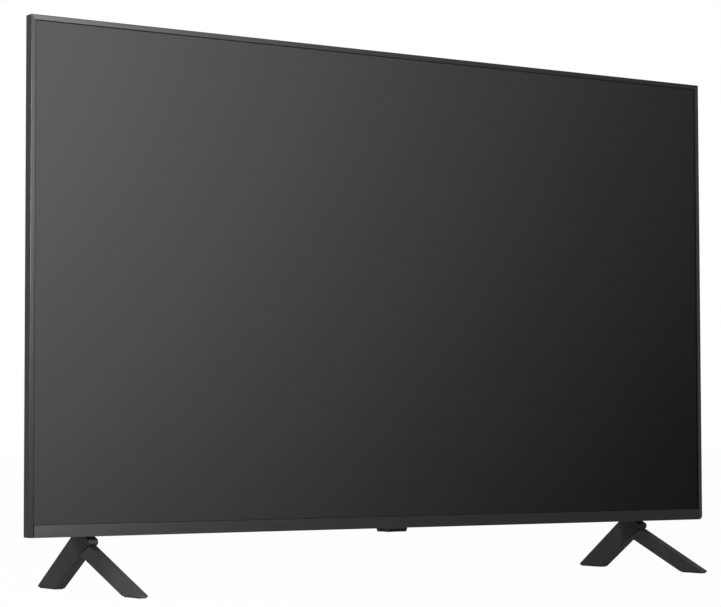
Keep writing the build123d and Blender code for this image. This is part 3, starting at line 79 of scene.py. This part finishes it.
class Surface:
    """One procedural material, built node by node in object coordinates in metres."""

    def __init__(self, name, specular=0.5, metallic=0.0):
        self.material = bpy.data.materials.new(name)
        self.material.use_nodes = True
        self.tree = self.material.node_tree
        self.shader = self.tree.nodes["Principled BSDF"]
        self.set("Specular IOR Level", specular)
        self.set("Metallic", metallic)
        self.place = self.add("ShaderNodeTexCoord").outputs["Object"]

    def set(self, socket, value):
        self.shader.inputs[socket].default_value = value

    def add(self, kind, **settings):
        node = self.tree.nodes.new(kind)
        for key, value in settings.items():
            setattr(node, key, value)
        return node

    def link(self, source, target):
        self.tree.links.new(source, target)

    def mapped(self, socket, value):
        """The place on the object, scaled or turned by this value."""
        mapping = self.add("ShaderNodeMapping")
        mapping.inputs[socket].default_value = value
        self.link(self.place, mapping.inputs["Vector"])
        return mapping.outputs["Vector"]

    def noise(self, size, stretch=(1.0, 1.0, 1.0), detail=3.0):
        """Soft noise whose features are about this many metres across."""
        node = self.add("ShaderNodeTexNoise")
        node.inputs["Scale"].default_value = 1 / size
        node.inputs["Detail"].default_value = detail
        self.link(self.mapped("Scale", stretch), node.inputs["Vector"])
        return node.outputs["Fac"]

    def cells(self, size, output="Distance"):
        """Cells of about this many metres across."""
        node = self.add("ShaderNodeTexVoronoi")
        node.inputs["Scale"].default_value = 1 / size
        self.link(self.place, node.inputs["Vector"])
        return node.outputs[output]

    def ramp(self, factor, low=0.0, high=1.0, start=0.0, end=1.0):
        """Goes from low to high while the factor goes from start to end."""
        node = self.add("ShaderNodeMapRange")
        node.inputs["From Min"].default_value = start
        node.inputs["From Max"].default_value = end
        node.inputs["To Min"].default_value = low
        node.inputs["To Max"].default_value = high
        self.link(factor, node.inputs["Value"])
        return node.outputs["Result"]

    def mix(self, factor, first, second):
        """Mix of two colours, each of them three numbers or the output of a node."""
        node = self.add("ShaderNodeMix", data_type="RGBA")
        self.link(factor, node.inputs["Factor"])
        for socket, colour in ((first_colour, first), (second_colour, second)):
            if isinstance(colour, tuple):
                node.inputs[socket].default_value = (*colour, 1.0)
            else:
                self.link(colour, node.inputs[socket])
        return node.outputs[mixed_colour]

    def colour(self, source):
        self.link(source, self.shader.inputs["Base Color"])

    def roughness(self, source, middle, spread):
        """Roughness that follows the source from middle - spread to middle + spread."""
        uneven = self.ramp(source, middle - spread, middle + spread)
        self.link(uneven, self.shader.inputs["Roughness"])

    def bump(self, height, depth, strength):
        """Relief of the surface, this many metres deep."""
        node = self.add("ShaderNodeBump")
        node.inputs["Strength"].default_value = strength
        node.inputs["Distance"].default_value = depth
        self.link(height, node.inputs["Height"])
        self.link(node.outputs["Normal"], self.shader.inputs["Normal"])


def lighter(colour, share):
    """The same colour made lighter or darker."""
    return tuple(part * share for part in colour)


def moulded(name, colour, roughness, grain, relief, specular=0.5, patch=0.03, spread=0.06):
    """Moulded plastic with a fine grain, faint patches and uneven gloss."""
    dark_share, light_share = 0.88, 1.12
    gloss_patches = 3
    made = Surface(name, specular)
    patches = made.ramp(made.noise(patch), start=0.3, end=0.7)
    made.colour(made.mix(patches, lighter(colour, dark_share), lighter(colour, light_share)))
    made.roughness(made.noise(patch / gloss_patches), roughness, spread)
    made.bump(made.noise(grain, detail=2.0), relief, strength=0.6)
    return made


def brushed(name, colour, roughness, stretch, specular):
    """Satin strip with fine lines drawn along its length."""
    dark_share, light_share = 0.9, 1.1
    line_width = 0.0006
    line_depth = 0.00001
    made = Surface(name, specular)
    lines = made.noise(line_width, stretch, detail=4.0)
    made.colour(made.mix(made.ramp(lines, start=0.3, end=0.7),
                         lighter(colour, dark_share), lighter(colour, light_share)))
    made.roughness(lines, roughness, spread=0.05)
    made.bump(lines, line_depth, strength=0.35)
    return made


def metal(name, colour, roughness, cell, spread=0.08):
    """Sheet metal with a faint crystal pattern."""
    dark_share, light_share = 0.85, 1.08
    finer = 8
    relief = 0.00002
    made = Surface(name, metallic=1.0)
    tone = made.ramp(made.cells(cell, output="Color"))
    made.colour(made.mix(tone, lighter(colour, dark_share), lighter(colour, light_share)))
    made.roughness(made.noise(cell), roughness, spread)
    made.bump(made.noise(cell / finer, detail=4.0), relief, strength=0.3)
    return made


def coated_screen(name):
    """Low-gloss coated glass of the screen."""
    dark, light = (0.003, 0.003, 0.0031), (0.0036, 0.0036, 0.0037)
    haze_patch = 0.16
    gloss_grain = 0.0009
    coating_grain = 0.0005
    coating_relief = 0.000004
    made = Surface(name, specular=0.025)
    haze = made.ramp(made.noise(haze_patch), start=0.35, end=0.65)
    made.colour(made.mix(haze, dark, light))
    made.roughness(made.noise(gloss_grain, detail=2.0), middle=0.61, spread=0.02)
    made.bump(made.noise(coating_grain, detail=1.0), coating_relief, strength=0.4)
    return made


def circuit(name, colour):
    """Circuit board with tracks under its mask and small gold pads."""
    track_shares = {"Color1": 1.3, "Color2": 0.8, "Mortar": 1.9}
    facing_front = (radians(90), 0.0, 0.0)
    pad_spacing = 0.004
    gold = (0.5, 0.42, 0.2)
    gloss_patch = 0.01
    track_height = 0.00003
    made = Surface(name)
    tracks = made.add("ShaderNodeTexBrick", offset=0.37, squash=1.7, squash_frequency=3)
    for socket, share in track_shares.items():
        tracks.inputs[socket].default_value = (*lighter(colour, share), 1.0)
    tracks.inputs["Scale"].default_value = 90.0
    tracks.inputs["Mortar Size"].default_value = 0.06
    made.link(made.mapped("Rotation", facing_front), tracks.inputs["Vector"])
    pads = made.ramp(made.cells(pad_spacing), low=1.0, high=0.0, start=0.1, end=0.16)
    made.colour(made.mix(pads, tracks.outputs["Color"], gold))
    made.roughness(made.noise(gloss_patch), middle=0.375, spread=0.075)
    made.bump(tracks.outputs["Fac"], track_height, strength=0.4)
    return made


def clear_lens(name):
    """Clear moulded lens of a light source."""
    made = moulded(name, (0.9, 0.92, 0.94), roughness=0.12, grain=0.001, relief=0.000003,
                   patch=0.006, spread=0.04)
    made.set("Transmission Weight", 0.85)
    return made


def wear(made, *names):
    """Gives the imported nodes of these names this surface."""
    for name in names:
        for slot in nodes[name].material_slots:
            slot.material = made.material


def dress_front():
    """Screen, its frame, the receiver box below it and its button."""
    wear(coated_screen("screen"), "lcd_panel")
    # The side strips of the frame are one finish; the right strip is coloured lighter than the
    # left strip as painted light.
    wear(brushed("bezel_left", (0.035, 0.035, 0.036), roughness=0.255, stretch=upright,
                 specular=0.013),
         "bezel_left")
    wear(brushed("bezel_right", (0.056, 0.056, 0.057), roughness=0.32, stretch=upright,
                 specular=0.013),
         "bezel_right")
    wear(brushed("bezel_top", (0.03, 0.03, 0.031), roughness=0.358, stretch=across,
                 specular=0.0225),
         "bezel_top")
    wear(brushed("chin", (0.0308, 0.0308, 0.0315), roughness=0.25, stretch=across,
                 specular=0.047),
         "bottom_chin")
    wear(moulded("foam", (0.002, 0.002, 0.002), roughness=0.92, grain=0.0008, relief=0.0001,
                 specular=0.02),
         "panel_gasket")
    wear(moulded("housing", (0.009, 0.009, 0.0095), roughness=0.45, grain=0.0008, relief=0.00001,
                 specular=0.05),
         "receiver_housing")
    wear(moulded("window", (0.004, 0.003, 0.003), roughness=0.1, grain=0.002, relief=0.000002,
                 specular=0.08, spread=0.03),
         "ir_window")
    wear(moulded("button", (0.015, 0.015, 0.016), roughness=0.3, grain=0.0006, relief=0.00001,
                 specular=0.4),
         "power_button", "switch_plunger")


def dress_stand_and_rear():
    """Feet and rear cover, and the rubber, sockets and screws, also those inside."""
    # The rear and front legs are one plastic: the rear legs' darker colour is painted shade and
    # the front legs' lighter colour is painted light.
    wear(moulded("rear_leg", (0.036, 0.036, 0.0365), roughness=0.62, grain=0.0005, relief=0.000014,
                 specular=0.025),
         "foot_left_rear_leg", "foot_right_rear_leg")
    wear(moulded("front_leg", (0.06, 0.06, 0.0605), roughness=0.62, grain=0.0005, relief=0.000014,
                 specular=0.025),
         "foot_left_front_leg", "foot_right_front_leg")
    wear(moulded("cover", (0.022, 0.022, 0.023), roughness=0.62, grain=0.0009, relief=0.00006,
                 specular=0.15, patch=0.08),
         "rear_cover", "inlet_plate")
    wear(moulded("rubber", (0.02, 0.02, 0.02), roughness=0.85, grain=0.0006, relief=0.00006,
                 specular=0.3),
         "speaker_bushes", "foot_pads")
    wear(moulded("socket", (0.012, 0.012, 0.013), roughness=0.4, grain=0.0008, relief=0.00002),
         "lan_socket", "mains_inlet", "tact_switch", "ir_sensor")
    wear(metal("bright_steel", (0.7, 0.69, 0.66), roughness=0.25, cell=0.004, spread=0.06),
         "vesa_nuts", "hdmi_sockets", "usb_sockets", "aerial_socket")
    wear(metal("dark_zinc", (0.16, 0.16, 0.17), roughness=0.36, cell=0.003),
         "cover_screws", "board_screws", "foot_screws")


def dress_inside():
    """Guide frame, backlight, tray, boards, loudspeakers and leads."""
    wear(moulded("inner", (0.03, 0.03, 0.032), roughness=0.5, grain=0.001, relief=0.00003,
                 specular=0.4),
         "guide_frame", "speaker_left", "speaker_right")
    wear(moulded("film", (0.82, 0.84, 0.86), roughness=0.35, grain=0.0007, relief=0.00001),
         "prism_film", "diffuser_film", "diffuser_plate")
    wear(moulded("reflector", (0.9, 0.9, 0.9), roughness=0.7, grain=0.0007, relief=0.00002),
         "reflector_sheet")
    wear(metal("steel", (0.62, 0.63, 0.65), roughness=0.36, cell=0.012),
         "back_chassis", "foot_left_bracket", "foot_right_bracket", "cover_posts",
         "board_posts")
    wear(moulded("light_bar", (0.85, 0.85, 0.84), roughness=0.4, grain=0.0006, relief=0.00001),
         "led_bars")
    wear(clear_lens("lens"), "led_lenses")
    wear(circuit("board", (0.012, 0.09, 0.04)),
         "main_board", "power_board", "timing_board", "wifi_module", "receiver_board")
    wear(metal("sink", (0.5, 0.51, 0.53), roughness=0.42, cell=0.02), "heat_sink")
    wear(moulded("ferrite", (0.05, 0.045, 0.042), roughness=0.75, grain=0.0006, relief=0.00005),
         "transformer")
    wear(moulded("can", (0.015, 0.016, 0.03), roughness=0.25, grain=0.002, relief=0.00001),
         "capacitors")
    wear(moulded("driver", (0.03, 0.03, 0.03), roughness=0.6, grain=0.0006, relief=0.00005),
         "speaker_left_driver", "speaker_right_driver")
    wear(moulded("lead", (0.02, 0.02, 0.022), roughness=0.5, grain=0.0012, relief=0.00002),
         "power_lead", "led_lead", "speaker_leads", "receiver_lead", "wifi_lead")
    wear(moulded("ribbon", (0.7, 0.68, 0.6), roughness=0.35, grain=0.0012, relief=0.00001),
         "display_cable", "panel_ribbons")


def looked_at(tree, *rays):
    """One for a ray of any of these kinds, and zero for every other ray."""
    path = tree.nodes.new("ShaderNodeLightPath")
    seen = path.outputs[rays[0]]
    for ray in rays[1:]:
        either = tree.nodes.new("ShaderNodeMath")
        either.operation = "MAXIMUM"
        tree.links.new(seen, either.inputs[0])
        tree.links.new(path.outputs[ray], either.inputs[1])
        seen = either.outputs[0]
    return seen


def make_world():
    """White studio surround that also lights the set softly."""
    world = bpy.data.worlds.new("surround")
    scene.world = world
    world.use_nodes = True
    tree = world.node_tree
    back = tree.nodes["Background"]
    back.inputs["Color"].default_value = (*white, 1.0)
    level = tree.nodes.new("ShaderNodeMapRange")
    level.inputs["To Min"].default_value = cast_strength
    level.inputs["To Max"].default_value = seen_strength
    seen = looked_at(tree, "Is Camera Ray", "Is Glossy Ray", "Is Transmission Ray")
    tree.links.new(seen, level.inputs["Value"])
    tree.links.new(level.outputs["Result"], back.inputs["Strength"])


def make_floor():
    """Plain pale floor that keeps a faint shadow."""
    corners = [(-floor_reach, -floor_reach, 0), (floor_reach, -floor_reach, 0),
               (floor_reach, floor_reach, 0), (-floor_reach, floor_reach, 0)]
    mesh = bpy.data.meshes.new("floor")
    mesh.from_pydata(corners, [], [(0, 1, 2, 3)])
    floor = bpy.data.objects.new("floor", mesh)
    scene.collection.objects.link(floor)
    made = bpy.data.materials.new("floor")
    made.use_nodes = True
    tree = made.node_tree
    shader = tree.nodes["Principled BSDF"]
    shader.inputs["Base Color"].default_value = (*floor_colour, 1.0)
    shader.inputs["Roughness"].default_value = floor_roughness
    shader.inputs["Specular IOR Level"].default_value = floor_specular
    glow = tree.nodes.new("ShaderNodeEmission")
    glow.inputs["Strength"].default_value = floor_glow
    share = tree.nodes.new("ShaderNodeMath")
    share.operation = "MULTIPLY"
    share.inputs[1].default_value = floor_white_share
    tree.links.new(looked_at(tree, "Is Camera Ray", "Is Glossy Ray"), share.inputs[0])
    mixed = tree.nodes.new("ShaderNodeMixShader")
    tree.links.new(share.outputs[0], mixed.inputs["Fac"])
    tree.links.new(shader.outputs["BSDF"], mixed.inputs[1])
    tree.links.new(glow.outputs["Emission"], mixed.inputs[2])
    tree.links.new(mixed.outputs["Shader"], tree.nodes["Material Output"].inputs["Surface"])
    mesh.materials.append(made)


def make_light(name, place, target, size, energy, colour=white, spread=180.0, diffuse=True):
    """Soft rectangular studio light; a smaller spread is a grid in front of it."""
    data = bpy.data.lights.new(name, "AREA")
    data.shape = "RECTANGLE"
    data.size, data.size_y = size
    data.energy = energy
    data.color = colour
    data.spread = radians(spread)
    light = bpy.data.objects.new(name, data)
    light.location = place
    light.rotation_mode = "QUATERNION"
    light.rotation_quaternion = (Vector(target) - Vector(place)).to_track_quat("-Z", "Y")
    light.visible_camera = False
    light.visible_diffuse = diffuse
    scene.collection.objects.link(light)


def make_lights():
    """Panel that the screen and its frame mirror, and two that light the plastic."""
    make_light("gloss_panel", place=(-0.167, -3.0, 0.743), target=(-2.405, 0.0, 3.285),
               size=(1.58, 0.89), energy=4481.0, colour=(1.0, 0.985, 0.96), spread=131.6,
               diffuse=False)
    make_light("left_panel", place=(-1.25, 0.35, 1.25), target=(-0.45, 0.0, 0.3),
               size=(0.5, 0.5), energy=12.9)
    make_light("top_panel", place=(0.0, -0.4, 2.4), target=(0.0, 0.0, 0.3),
               size=(2.0, 1.2), energy=10.0)


make_camera()
dress_front()
dress_stand_and_rear()
dress_inside()
make_world()
make_floor()
make_lights()
